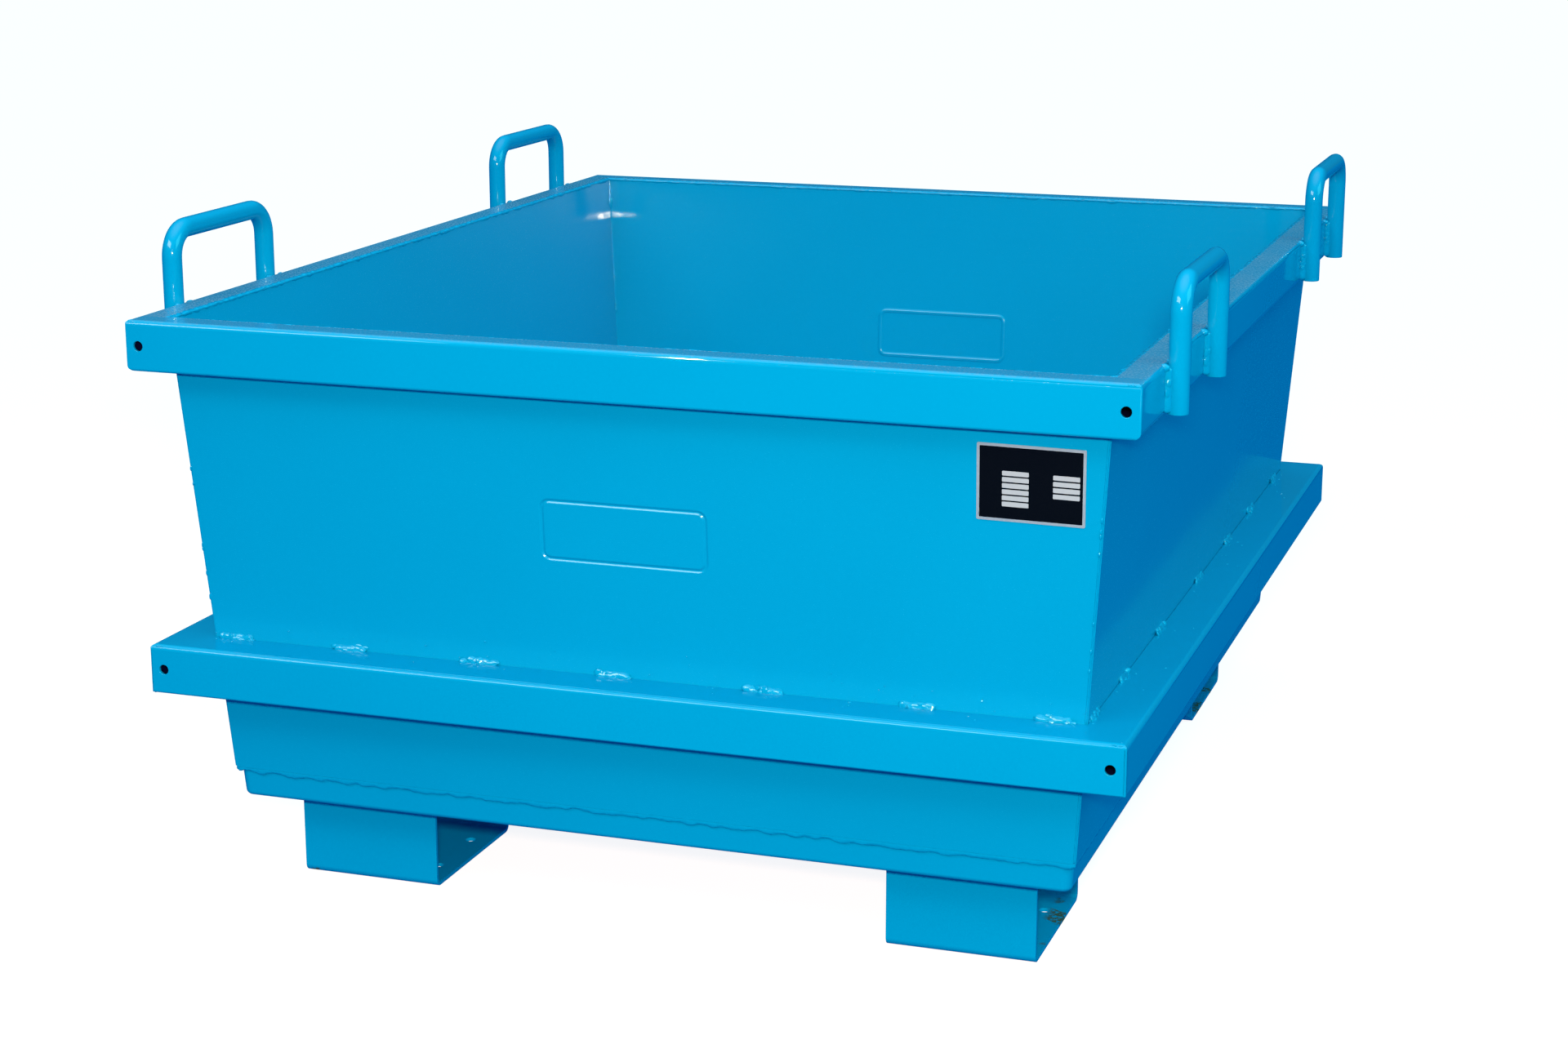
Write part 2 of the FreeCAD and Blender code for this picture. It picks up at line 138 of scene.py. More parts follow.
class Finish(Nodes):
    """One finish of the container, as the nodes of a material."""

    def __init__(self, name, **constants):
        self.material = bpy.data.materials.new(name)
        self.material.use_nodes = True
        super().__init__(self.material.node_tree)
        self.shader = self.tree.nodes["Principled BSDF"]
        self.place = self.node("ShaderNodeTexCoord", out="Object")
        self.surface({key.replace("_", " "): value for key, value in constants.items()})

    def surface(self, sockets):
        self.join(self.shader, sockets)

    def noise(self, per_metre, detail):
        """Noise from 0 to 1 with so many waves to the metre."""
        return self.node("ShaderNodeTexNoise", None,
                         {"Vector": self.place, "Scale": per_metre, "Detail": detail})

    def between(self, level, low, high):
        """0 where the level is below low and 1 past high, with a soft step between them."""
        return self.node("ShaderNodeMapRange", {"interpolation_type": "SMOOTHSTEP"},
                         {"Value": level, "From Min": low, "From Max": high})

    def mixed(self, share, first, second):
        return self.node("ShaderNodeMix", {"data_type": "RGBA"}, {0: share, 6: first, 7: second}, out=2)

    def raised(self, height):
        """Bump from a height in metres."""
        self.surface({"Normal": self.node("ShaderNodeBump", None, {"Distance": 1.0, "Height": height})})

    def along(self, axis):
        """Distance from the container's middle along one axis, without its sign."""
        place = self.node("ShaderNodeSeparateXYZ", None, {0: self.place}, out=axis)
        return self.node("ShaderNodeMath", {"operation": "ABSOLUTE"}, {0: place})

    def finished(self, colour, gloss, height):
        """Set colour, roughness and height, and keep them for the layers laid over them: wear on the feet,
        dust and a painted reflection on the rim.
        """
        self.colour, self.gloss, self.height = colour, gloss, height
        self.surface({"Base Color": colour, "Roughness": gloss})
        self.raised(height)


def enamel(name, lumps=0.0, lumps_per_metre=0.0, density=enamel_density, gloss=enamel_gloss):
    """The blue enamel: orange peel, the slow waves of the sheet under it and a little dust."""
    coat = Finish(name, IOR=density)
    cloud = (coat.noise(cloud_per_metre, 3.0) * cloud_share
             + coat.noise(fleck_per_metre, 2.0) * (1 - cloud_share))
    specks = coat.between(coat.noise(speck_per_metre, 1.0), *speck_levels)
    height = (coat.noise(peel_per_metre, 1.0) * peel_depth + coat.noise(buckle_per_metre, 0.0) * buckle_depth
              + specks * speck_depth)
    if lumps:
        height = height + coat.noise(lumps_per_metre, 3.0) * lumps
    colour = coat.mixed(cloud, enamel_deep, enamel_light)
    gloss = gloss + cloud * cloud_dullness + specks * speck_dullness
    coat.finished(colour, gloss, height)
    return coat


def begin(add, **sizes):
    """Add one primitive with nothing else selected, and open it for editing."""
    if bpy.context.object and bpy.context.object.mode == "EDIT":
        bpy.ops.object.mode_set(mode="OBJECT")
    bpy.ops.object.select_all(action="DESELECT")
    add(**sizes)
    bpy.ops.object.transform_apply(location=True, rotation=True, scale=True)
    bpy.ops.object.mode_set(mode="EDIT")
    return bpy.context.object


def pick(kind, test):
    """Select the faces, edges or points of the open piece that pass a test.

    A face is tested by its middle and normal, an edge by its middle and direction, a point by its place.
    """
    bpy.ops.mesh.select_mode(type={"faces": "FACE", "edges": "EDGE", "verts": "VERT"}[kind])
    bpy.ops.mesh.select_all(action="DESELECT")
    data = bpy.context.object.data
    mesh = bmesh.from_edit_mesh(data)
    for part in getattr(mesh, kind):
        if kind == "verts":
            wanted = test(part.co)
        elif kind == "edges":
            a, b = (v.co for v in part.verts)
            wanted = test((a + b) / 2, (b - a).normalized())
        else:
            wanted = test(part.calc_center_median(), part.normal)
        if wanted:
            part.select_set(True)
    mesh.select_flush_mode()
    bmesh.update_edit_mesh(data)


def modify(kind, **settings):
    """Give the piece a modifier and apply it."""
    if bpy.context.object.mode == "EDIT":
        bpy.ops.object.mode_set(mode="OBJECT")
    bpy.ops.object.modifier_add(type=kind)
    modifier = bpy.context.object.modifiers[-1]
    for key, value in settings.items():
        setattr(modifier, key, value)
    bpy.ops.object.modifier_apply(modifier=modifier.name)


def choose(*pieces):
    """Select these pieces alone, with the first as the active one."""
    if bpy.context.object and bpy.context.object.mode == "EDIT":
        bpy.ops.object.mode_set(mode="OBJECT")
    bpy.ops.object.select_all(action="DESELECT")
    for piece in pieces:
        piece.select_set(True)
    bpy.context.view_layer.objects.active = pieces[0]


def settled(piece, name, coats, nodes, crease=35.0):
    """Put a finished piece on the container, in its coats, in place of its CAD nodes."""
    choose(piece)
    bpy.ops.object.transform_apply(location=True, rotation=True, scale=True)
    bpy.ops.object.shade_smooth_by_angle(angle=math.radians(crease))
    modify("WEIGHTED_NORMAL", keep_sharp=True)
    piece.name = name
    piece.data.name = name
    if not piece.data.materials:
        for coat in coats:
            piece.data.materials.append(coat.material)
    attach(piece, "root")
    if nodes:
        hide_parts(*nodes)


def copied(piece, turn=0.0, shift=(0, 0, 0)):
    """Copy of a piece, with its own mesh, turned about the container's upright axis and moved."""
    choose(piece)
    bpy.ops.object.duplicate()
    copy = bpy.context.object
    copy.matrix_world = Matrix.Translation(shift) @ Matrix.Rotation(math.radians(turn), 4, "Z")
    bpy.ops.object.transform_apply(location=True, rotation=True, scale=True)
    return copy


def rounded_blank(width, height, corner, z, x=0.0, y=0.0):
    """Add an upright rectangle with round corners to the open piece, and leave it selected."""
    bpy.ops.mesh.select_mode(type="VERT")
    bpy.ops.mesh.primitive_plane_add(size=1.0, location=(x, y, z), rotation=(math.pi / 2, 0, 0))
    bpy.ops.transform.resize(value=(width, 1, height), center_override=(x, y, z))
    bpy.ops.mesh.bevel(offset=corner, offset_type="OFFSET", segments=6, affect="VERTICES")
    bpy.ops.mesh.select_mode(type="FACE")


def lean_back(y, z):
    """Lean the open piece outwards as the front wall does, from an upright plane onto its outer face."""
    piece = bpy.context.object
    bpy.ops.object.mode_set(mode="OBJECT")
    piece.matrix_world = Matrix.Translation((0, y, z)) @ Matrix.Rotation(math.atan(lean), 4, "X")
    bpy.ops.object.transform_apply(location=True, rotation=True, scale=True)


wall_low, wall_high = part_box("front_wall")
wall_drop = wall_high.z - wall_low.z
lean = (wall_high.y - wall_low.y - sheet) / wall_drop
slant = math.hypot(1, lean)
wall_y = -wall_low.y         # half the trough's length at the top, over the end walls
mouth_x = wall_high.x        # half its width and length there, between the walls
mouth_y = wall_y - sheet

blue = enamel("blue_enamel")
sheet_blue = enamel("blue_enamel_on_sheet", gloss=sheet_gloss)
pulled = (sheet_blue.between(sheet_blue.along(2), *pull_z)
          * sheet_blue.between(sheet_blue.along(0), mouth_x - pull_reach[0], mouth_x - pull_reach[1])
          * sheet_blue.between(sheet_blue.along(1), wall_y - pull_reach[0], wall_y - pull_reach[1]))
sheet_blue.finished(sheet_blue.colour, sheet_blue.gloss - pulled * (1.0 - pulled) * pull_polish,
                    sheet_blue.height - pulled * weld_pull)

# The blank starts as a square from z 0 to 2, and its upper and then its lower points are drawn in.
wall = begin(bpy.ops.mesh.primitive_plane_add, size=2.0, rotation=(math.pi / 2, 0, 0), location=(0, 0, 1))
pick("verts", lambda place: place.z > 1)
bpy.ops.transform.resize(value=(mouth_x, 1, wall_drop * slant / 2), center_override=(0, 0, 0))
pick("verts", lambda place: place.z < wall_drop / 2)
bpy.ops.transform.resize(value=(mouth_x - lean * wall_drop, 1, 1), center_override=(0, 0, 0))
bpy.ops.mesh.select_all(action="SELECT")
bpy.ops.mesh.delete(type="ONLY_FACE")
rounded_blank(field_width, field_height, field_corner, (field_middle_z - wall_low.z) * slant)
for step in range(groove_steps):
    before, after = (math.cos(2 * math.pi * k / groove_steps) for k in (step, step + 1))
    bpy.ops.mesh.inset(thickness=groove_width / groove_steps, depth=(after - before) * groove_depth / 2)
bpy.ops.mesh.select_mode(type="EDGE")
bpy.ops.mesh.select_non_manifold(extend=False)
bpy.ops.mesh.fill()
bpy.ops.mesh.select_all(action="SELECT")
bpy.ops.mesh.normals_make_consistent(inside=False)
if bmesh.from_edit_mesh(wall.data).faces[0].normal.y > 0:
    bpy.ops.mesh.flip_normals()
lean_back(wall_high.y - sheet * slant, wall_low.z)
modify("SOLIDIFY", thickness=sheet, offset=-1.0, use_even_offset=True)
modify("BEVEL", width=cut_edge, segments=2, limit_method="ANGLE", angle_limit=sharp)
back = copied(wall, 180)
settled(wall, "front_wall_sheet", [sheet_blue], ["front_wall"])
settled(back, "back_wall_sheet", [sheet_blue], ["back_wall"])

# Left and right walls: plain steel sheets between the front and the back wall, held by the seams at
# the corners. Their edges are hidden behind the end walls and under the seams.

for name in ("left_wall", "right_wall"):
    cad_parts[name].data.materials.clear()
    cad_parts[name].data.materials.append(sheet_blue.material)

# Floor pan: one steel sheet with its four edges turned up behind the walls. The bends are round,
# and so are the upright corners.

pan_bend = 0.005
pan_corner = 0.010
pan_edge = 0.0008
hair = 0.0001                # places that are nearer to each other than this are the same
aligned = 0.9                # share of a direction along an axis that counts as lying along it


def block(low, high):
    """Open a block between two corners for editing."""
    return begin(bpy.ops.mesh.primitive_cube_add, size=1.0, location=(low + high) / 2, scale=high - low)


pan_low, pan_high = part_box("floor_pan")
pan = block(pan_low, pan_high)
pick("verts", lambda place: place.z < pan_low.z + sheet)
lean_in = lean * (pan_high.z - pan_low.z)
bpy.ops.transform.resize(value=(1 - lean_in / pan_high.x, 1 - lean_in / pan_high.y, 1),
                         center_override=(0, 0, 0))
pick("faces", lambda middle, normal: normal.z > aligned)
bpy.ops.mesh.delete(type="FACE")
pick("edges", lambda middle, way: abs(way.z) > aligned)
bpy.ops.mesh.bevel(offset=pan_corner, segments=8, affect="EDGES")
pick("edges", lambda middle, way: middle.z < pan_low.z + hair)
bpy.ops.mesh.bevel(offset=pan_bend, segments=6, affect="EDGES")
modify("SOLIDIFY", thickness=sheet, offset=-1.0, use_even_offset=True)
modify("BEVEL", width=pan_edge, segments=2, limit_method="ANGLE", angle_limit=sharp)
settled(pan, "floor_pan_sheet", [blue], ["floor_pan"])

# Rim: four rectangular steel tubes round the top of the trough, mitred and welded at the corners.
# The front and back ones have a hole near each end that lets the hot gas out of the closed tube. No enamel
# reaches the inside of a tube, which stays bare steel, coloured dark navy as painted shade.
# Dust and grit lie on its top, and a lilac painted reflection with them, heavier on the side tubes.

tube_wall = 0.003
tube_edge = 0.0055
tube_low_edge = 0.003
rim_inner_edge = 0.002       # the inner top edge, under the seam that joins the walls to it
rim_corner = 0.009           # the low corners of the rim are ground round
mitre_round = 0.003          # the upright corners, ground a little less
corner_steps = 7
vent = 0.010
vent_edge = 0.0006
rim_vent_inset = 0.014
drill_sides = 32
square_end = 0.999           # share of a normal along an axis that only a square end has
bare_steel_and_painted_shade = ((0.001, 0.002, 0.040, 1.0), (0.002, 0.006, 0.120, 1.0))      # bare steel with mill scale, darkened and tinted navy as painted shade
# lilac of the dust on the rim's top, mixed with a painted reflection of the hall
lilac_of_dust_and_painted_reflection = (0.40, 0.21, 0.23, 1.0)
film_of_dust_and_reflection = 0.16             # share of the enamel that a thin film of dust and painted reflection hides, and grit over it
grit_of_dust_and_reflection = 0.36
grit_per_metre = 420.0
grit_levels = (0.38, 0.66)
drift_per_metre = 14.0       # the dust and the painted reflection lie in drifts
drift_least = 0.4
end_tubes_dust_and_reflection = 0.55              # the dust and the painted reflection lie thinner on the front and back tubes than on the side tubes, by so much
side_tubes_dust_and_reflection = 0.60             # than on the side tubes, by so much
dust_drop = (0.0012, 0.0004)      # from the rim's top down, where it thins out
end_tube_start = (0.572, 0.576)   # from the container's middle to where the end tubes begin
dust_dullness = 0.5
dust_depth = 0.00006


def grained(name, per_metre, detail, shades, gloss, dullness, depth, **constants):
    """A finish without enamel, with a grain that runs through its shade, gloss and height."""
    coat = Finish(name, **constants)
    grain = coat.noise(per_metre, detail)
    coat.finished(coat.mixed(grain, *shades), gloss + grain * dullness, grain * depth)
    return coat


def drilled(piece, place, width, depth, turn=(0, 0, 0)):
    """Drill a hole into a piece about a place."""
    drill = begin(bpy.ops.mesh.primitive_cylinder_add, vertices=drill_sides, radius=width / 2,
                  depth=depth, location=place, rotation=turn)
    choose(piece)
    modify("BOOLEAN", object=drill, operation="DIFFERENCE", solver="EXACT")
    bpy.data.objects.remove(drill)


def ground_round(corner, first, second, radius):
    """Grind a corner of the open closed piece round, between two ways out, by a fan of flat cuts."""
    for step in range(corner_steps):
        turn = (step + 0.5) / corner_steps * math.pi / 2
        out = first * math.cos(turn) + second * math.sin(turn)
        middle = corner - (first + second) * radius
        bpy.ops.mesh.select_all(action="SELECT")
        bpy.ops.mesh.bisect(plane_co=middle + out * radius, plane_no=out, use_fill=True, clear_outer=True)


def tube(low, high, vents, coat, inner_edge, low_edge, corner):
    """Front tube between two corners: a hollow box with round edges and mitred ends."""
    piece = block(low, high)
    for place, edge in (((low.y, high.z), tube_edge), ((low.y, low.z), low_edge),
                        ((high.y, high.z), inner_edge), ((high.y, low.z), tube_edge)):
        pick("edges", lambda middle, way: abs(way.x) > aligned
             and abs(middle.y - place[0]) + abs(middle.z - place[1]) < hair)
        bpy.ops.mesh.bevel(offset=edge, segments=6, affect="EDGES")
    front, down = Vector((0, -1, 0)), Vector((0, 0, -1))
    ends = ((low.x, Vector((-1, 0, 0))), (high.x, Vector((1, 0, 0))))
    for x, out in ends:
        if corner:
            ground_round(Vector((x, low.y, low.z)), out, down, corner)
        ground_round(Vector((x, low.y, low.z)), out, front, mitre_round)
    pick("faces", lambda middle, normal: abs(normal.x) > square_end)
    bpy.ops.mesh.delete(type="FACE")
    for x, out in ends:
        bpy.ops.mesh.select_all(action="SELECT")
        bpy.ops.mesh.bisect(plane_co=(x, low.y, low.z), plane_no=out - front, clear_outer=True)
    piece.data.materials.append(coat.material)
    piece.data.materials.append(inner_steel_in_painted_shade.material)
    modify("SOLIDIFY", thickness=tube_wall, offset=-1.0, use_even_offset=True, material_offset=1)
    middle_z = (low.z + high.z) / 2
    for x in vents:
        drilled(piece, (x, low.y, middle_z), vent, 4 * tube_wall, (math.pi / 2, 0, 0))
    if vents:
        bpy.ops.object.mode_set(mode="EDIT")
        pick("edges", lambda middle, way: middle.y < low.y + hair
             and min(math.hypot(middle.x - x, middle.z - middle_z) for x in vents) < vent / 2 + hair)
        bpy.ops.mesh.bevel(offset=vent_edge, segments=3, affect="EDGES")
    return piece


def tubes_round(kind, vent_inset, coat, inner_edge, corner):
    """The four tubes of the rim or of the stacking frame, each in place of its node."""
    low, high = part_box(kind + "_tube_front")
    vents = [low.x + vent_inset, high.x - vent_inset]
    front = tube(low, high, vents, coat, inner_edge, tube_low_edge, corner)
    long_low, long_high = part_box(kind + "_tube_right")
    turned_low = Vector((long_low.y, -long_high.x, low.z))
    turned_high = Vector((long_high.y, -long_low.x, high.z))
    right = tube(turned_low, turned_high, [], coat, inner_edge, corner or tube_low_edge, corner)
    choose(right)
    right.matrix_world = Matrix.Rotation(math.pi / 2, 4, "Z")
    bpy.ops.object.transform_apply(location=True, rotation=True, scale=True)
    pieces = {"front": front, "back": copied(front, 180), "right": right, "left": copied(right, 180)}
    for side, piece in pieces.items():
        settled(piece, kind + "_tube_" + side + "_piece", [coat], [kind + "_tube_" + side])


# The inside of the tubes: bare steel, with painted shade in its dark navy colour.
inner_steel_in_painted_shade = grained("bare_steel_in_painted_shade", per_metre=60.0, detail=4.0, shades=bare_steel_and_painted_shade, gloss=0.5,
                     dullness=0.3, depth=0.0003, Metallic=0.6)
rim_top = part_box("rim_tube_front")[1].z
dust_and_reflection_coat = enamel("blue_enamel_with_dust_and_painted_reflection")
# Painted reflection: the lilac on the rim's top stands for dust and for the hall mirrored at a low angle, so
# it is heavier on the side tubes.
on_top = dust_and_reflection_coat.between(dust_and_reflection_coat.along(2), rim_top - dust_drop[0], rim_top - dust_drop[1])
on_sides = 1.0 - dust_and_reflection_coat.between(dust_and_reflection_coat.along(1), *end_tube_start)
grit = dust_and_reflection_coat.between(dust_and_reflection_coat.noise(grit_per_metre, 3.0), *grit_levels)
drifts = drift_least + dust_and_reflection_coat.noise(drift_per_metre, 2.0)
dust_and_painted_reflection = on_top * (film_of_dust_and_reflection + grit * grit_of_dust_and_reflection) * drifts * (end_tubes_dust_and_reflection + on_sides * side_tubes_dust_and_reflection)
dust_and_reflection_coat.finished(dust_and_reflection_coat.mixed(dust_and_painted_reflection, dust_and_reflection_coat.colour, lilac_of_dust_and_painted_reflection), dust_and_reflection_coat.gloss + dust_and_painted_reflection * dust_dullness,
               dust_and_reflection_coat.height + dust_and_painted_reflection * dust_depth)
tubes_round("rim", rim_vent_inset, dust_and_reflection_coat, rim_inner_edge, rim_corner)

# Stacking frame: four larger steel tubes round the trough, mitred, welded and vented like the rim's.
# Its corners stay as they were cut. It rests on the rim of the container below.

frame_vent_inset = 0.015
frame_inner_edge = 0.0005
frame_corner = 0.0
tubes_round("frame", frame_vent_inset, blue, frame_inner_edge, frame_corner)

# Feet: U-shaped channels bent from 4 mm steel sheet and welded under the pan, open to the left and
# right as fork pockets. Four holes in each web take a castor. Forks have rubbed the enamel off the
# webs beside the mouths of the pockets.

foot_sheet = 0.004
foot_bend = 0.008
castor_hole = 0.011
castor_pitch_x = 0.105
castor_pitch_y = 0.080
rub_reach = (0.022, 0.012)   # from the mouth inwards, where the rubbing fades in
rub_fade = 0.001
patch_per_metre = 18.0
patch_levels = (0.52, 0.56)
scrape_per_metre = 240.0
scrape_levels = (0.42, 0.52)
rubbed_steel = (0.045, 0.075, 0.040, 1.0)
rub_dullness = 0.5
rub_depth = 0.0001
corners = {"front_right": (0, 0), "front_left": (1, 0), "back_right": (0, 1), "back_left": (1, 1)}


def at_corners(model, middle, kind, ending, coat):
    """Copy a front right piece to the container's four corners, each in place of its node."""
    for corner, (left, rear) in corners.items():
        piece = copied(model, shift=(-2 * left * middle.x, -2 * rear * middle.y, 0))
        settled(piece, kind + corner + ending, [coat], [kind + corner])
    bpy.data.objects.remove(model)


foot_low, foot_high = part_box("foot_front_right")
foot = block(foot_low, foot_high)
pick("faces", lambda middle, normal: normal.z > aligned or abs(normal.x) > aligned)
bpy.ops.mesh.delete(type="FACE")
pick("edges", lambda middle, way: middle.z < foot_low.z + foot_sheet and abs(way.x) > aligned)
bpy.ops.mesh.bevel(offset=foot_bend, segments=6, affect="EDGES")
modify("SOLIDIFY", thickness=foot_sheet, offset=-1.0, use_even_offset=True)
foot_middle = (foot_low + foot_high) / 2
for k in (-0.5, 0.5):
    for m in (-0.5, 0.5):
        x, y = foot_middle.x + k * castor_pitch_x, foot_middle.y + m * castor_pitch_y
        drilled(foot, (x, y, foot_low.z), castor_hole, 4 * foot_sheet)
modify("BEVEL", width=cut_edge, segments=2, limit_method="ANGLE", angle_limit=sharp)

worn = enamel("worn_blue_enamel")
web_top = foot_low.z + foot_sheet
on_web = 1.0 - worn.between(worn.along(2), web_top, web_top + rub_fade)
at_mouth = worn.between(worn.along(0), foot_high.x - rub_reach[0], foot_high.x - rub_reach[1])
patches = worn.between(worn.noise(patch_per_metre, 2.0), *patch_levels)
scrapes = worn.between(worn.noise(scrape_per_metre, 3.0), *scrape_levels)
rubbed = on_web * at_mouth * patches * scrapes
worn.finished(worn.mixed(rubbed, worn.colour, rubbed_steel), worn.gloss + rubbed * rub_dullness,
              worn.height - rubbed * rub_depth)
at_corners(foot, foot_middle, "foot_", "_channel", worn)

# Crane eyes: 20 mm round steel bar bent twice. Both legs stand against the outer face of the rim's
# side tubes and are welded upright to it.

eye_bend = 0.028
eye_sides = 28
bend_steps = 10
leg_end_edge = 0.0008


def drawn_out(x, y, z):
    """Draw the open end of the bar out along a straight line."""
    bpy.ops.mesh.extrude_region_move(TRANSFORM_OT_translate={"value": (x, y, z)})


def bent(y):
    """Bend the open end of the bar a quarter turn round a level axis at y."""
    bpy.ops.mesh.spin(steps=bend_steps, angle=math.pi / 2, center=(eye_x, y, bend_z), axis=(1, 0, 0))


eye_low, eye_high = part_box("crane_eye_front_right")
bar = eye_high.x - eye_low.x
eye_x = eye_low.x + bar / 2
leg_y = eye_low.y + bar / 2
far_leg_y = eye_high.y - bar / 2
bend_z = eye_high.z - bar / 2 - eye_bend
eye = begin(bpy.ops.mesh.primitive_circle_add, vertices=eye_sides, radius=bar / 2,
            location=(eye_x, leg_y, eye_low.z))
drawn_out(0, 0, bend_z - eye_low.z)
bent(leg_y + eye_bend)
drawn_out(0, far_leg_y - leg_y - 2 * eye_bend, 0)
bent(far_leg_y - eye_bend)
drawn_out(0, 0, eye_low.z - bend_z)
for near_y in (leg_y, far_leg_y):
    pick("edges", lambda middle, way: abs(middle.z - eye_low.z) < hair and abs(middle.y - near_y) < bar)
    bpy.ops.mesh.edge_face_add()
    bpy.ops.mesh.bevel(offset=leg_end_edge, segments=2, affect="EDGES")
bpy.ops.mesh.select_all(action="SELECT")
bpy.ops.mesh.normals_make_consistent(inside=False)
at_corners(eye, Vector((eye_x, (leg_y + far_leg_y) / 2, 0)), "crane_eye_", "_bar", blue)

# Long seams: beads of weld metal laid by hand, lumpy and uneven, under the same enamel. They join the
# walls to the rim, to the pan and to each other. Where the metal ran, their lower edge wanders.

bead_sides = 14
bead_steps_per_metre = 400.0
most_cuts = 90               # that one subdivision makes
bead_end_share = 0.45        # how far a bead draws in at its ends
weld_lump = 0.0005
weld_lumps_per_metre = 260.0
weld_density = 1.8           # refractive index: the enamel lies thick and bright over the welds
weld_crease = 80.0
wander_drop = 0.0006         # below its axis by this much, a bead wanders
rim_seam_bead = {"wide": 0.0040, "tall": 0.0022, "rough": 0.0018, "wander": 0.0050}
rim_seam_out = 0.0026        # from the inside of the walls outwards
rim_seam_drop = 0.0016
pan_seam_bead = {"wide": 0.0034, "tall": 0.0015, "rough": 0.0006, "wander": 0.0065}
pan_seam_in = 0.0020
pan_seam_drop = 0.0018
corner_seam_bead = {"wide": 0.0014, "tall": 0.0014, "rough": 0.0007}
corner_seam_out = 0.0002
corner_seam_drop = 0.002

weld = enamel("blue_enamel_on_welds", weld_lump, weld_lumps_per_metre, weld_density)
lumps = bpy.data.textures.new("weld_lumps", "CLOUDS")
lumps.noise_scale = 0.006
waves = bpy.data.textures.new("weld_waves", "CLOUDS")
waves.noise_scale = 0.015


def across(along, upward):
    """The direction square to a run that is nearest to upward."""
    return (Vector(upward) - along * along.dot(Vector(upward))).normalized()


def bead(start, end, upward, wide, tall, rough, wander=0.0):
    """A lumpy bead between two points: half as wide and as tall as given, rising along upward."""
    start, end = Vector(start), Vector(end)
    along = (end - start).normalized()
    up = across(along, upward)
    length = (end - start).length
    piece = begin(bpy.ops.mesh.primitive_cylinder_add, vertices=bead_sides, radius=1.0, depth=length)
    bpy.ops.transform.resize(value=(wide, tall, 1), center_override=(0, 0, 0))
    cuts = max(2, round(length * bead_steps_per_metre))
    while cuts > 1:
        pick("edges", lambda middle, way: abs(way.z) > aligned)
        bpy.ops.mesh.subdivide(number_cuts=min(cuts, most_cuts))
        cuts = cuts // most_cuts
    pick("faces", lambda middle, normal: abs(normal.z) > aligned)
    bpy.ops.transform.resize(value=(bead_end_share, bead_end_share, 1), center_override=(0, 0, 0))
    bpy.ops.object.mode_set(mode="OBJECT")
    turn = Matrix((up.cross(along), up, along)).transposed().to_4x4()
    piece.matrix_world = Matrix.Translation((start + end) / 2) @ turn
    bpy.ops.object.transform_apply(location=True, rotation=True, scale=True)
    modify("DISPLACE", texture=lumps, texture_coords="LOCAL", strength=rough, mid_level=0.6)
    if wander:
        bpy.ops.object.mode_set(mode="EDIT")
        pick("verts", lambda place: place.z < start.z - wander_drop)
        bpy.ops.object.vertex_group_add()
        bpy.ops.object.vertex_group_assign()
        modify("DISPLACE", texture=waves, texture_coords="LOCAL", strength=wander, mid_level=0.5,
               direction="Z", vertex_group=piece.vertex_groups[0].name)
        piece.vertex_groups.clear()
    return piece


def joined(pieces, name, nodes):
    """Join welds to one piece in place of their CAD nodes."""
    choose(*pieces)
    bpy.ops.object.join()
    settled(bpy.context.object, name, [weld], nodes, weld_crease)


def ring(x, y, z):
    """The four sides of a level rectangle about the container's axis, each with the way out."""
    square = [Vector((-x, -y, z)), Vector((x, -y, z)), Vector((x, y, z)), Vector((-x, y, z))]
    outs = [Vector((0, -1, 0)), Vector((1, 0, 0)), Vector((0, 1, 0)), Vector((-1, 0, 0))]
    return [(square[k], square[(k + 1) % 4], outs[k]) for k in range(4)]


seam_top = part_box("rim_seam_weld")[1].z
sides = ring(mouth_x + rim_seam_out, mouth_y + rim_seam_out, seam_top - rim_seam_drop)
joined([bead(start, end, (0, 0, 1), **rim_seam_bead) for start, end, out in sides],
       "rim_seam_bead", ["rim_seam_weld"])

base_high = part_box("pan_seam_weld")[1]
sides = ring(base_high.x - pan_seam_in, base_high.y - pan_seam_in, base_high.z - pan_seam_drop)
joined([bead(start, end, out, **pan_seam_bead) for start, end, out in sides],
       "pan_seam_bead", ["pan_seam_weld"])

corner_low, corner_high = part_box("corner_seam_welds")
beads = []
for sx in (-1, 1):
    for sy in (-1, 1):
        top = Vector((sx * (mouth_x + corner_seam_out), sy * mouth_y, corner_high.z - corner_seam_drop))
        bottom = top - Vector((sx * lean, sy * lean, 1)) * (top.z - corner_low.z)
        beads.append(bead(bottom, top, (sx, sy, 0), **corner_seam_bead))
joined(beads, "corner_seam_beads", ["corner_seam_welds"])

# Stitch welds: short runs of weld metal, laid drop over drop, that hold the stacking frame to the
# walls. They rise a little up the wall and lie under the same enamel.

stitch_gap = 0.060           # stitches are further apart than this
stitch_rise = 0.0016
stitch_bead = {"wide": 0.0042, "tall": 0.0018, "rough": 0.0030}
stitch_run = {"wide": 0.0040, "tall": 0.0019, "pitch": 0.0052, "stray": 0.6, "tilt": 0.6}

ball = begin(bpy.ops.mesh.primitive_ico_sphere_add, subdivisions=2, radius=1.0)
bpy.ops.object.mode_set(mode="OBJECT")


def drop(chance, place, turn, wide, tall, long):
    """One drop, of about the given half sizes across, upwards and along its run."""
    one = ball.copy()
    one.data = ball.data.copy()
    bpy.context.collection.objects.link(one)
    size = (wide * chance.uniform(0.8, 1.15), tall * chance.uniform(0.7, 1.15),
            long * chance.uniform(0.8, 1.25))
    one.matrix_world = Matrix.Translation(place) @ turn @ Matrix.Diagonal((*size, 1))
    return one


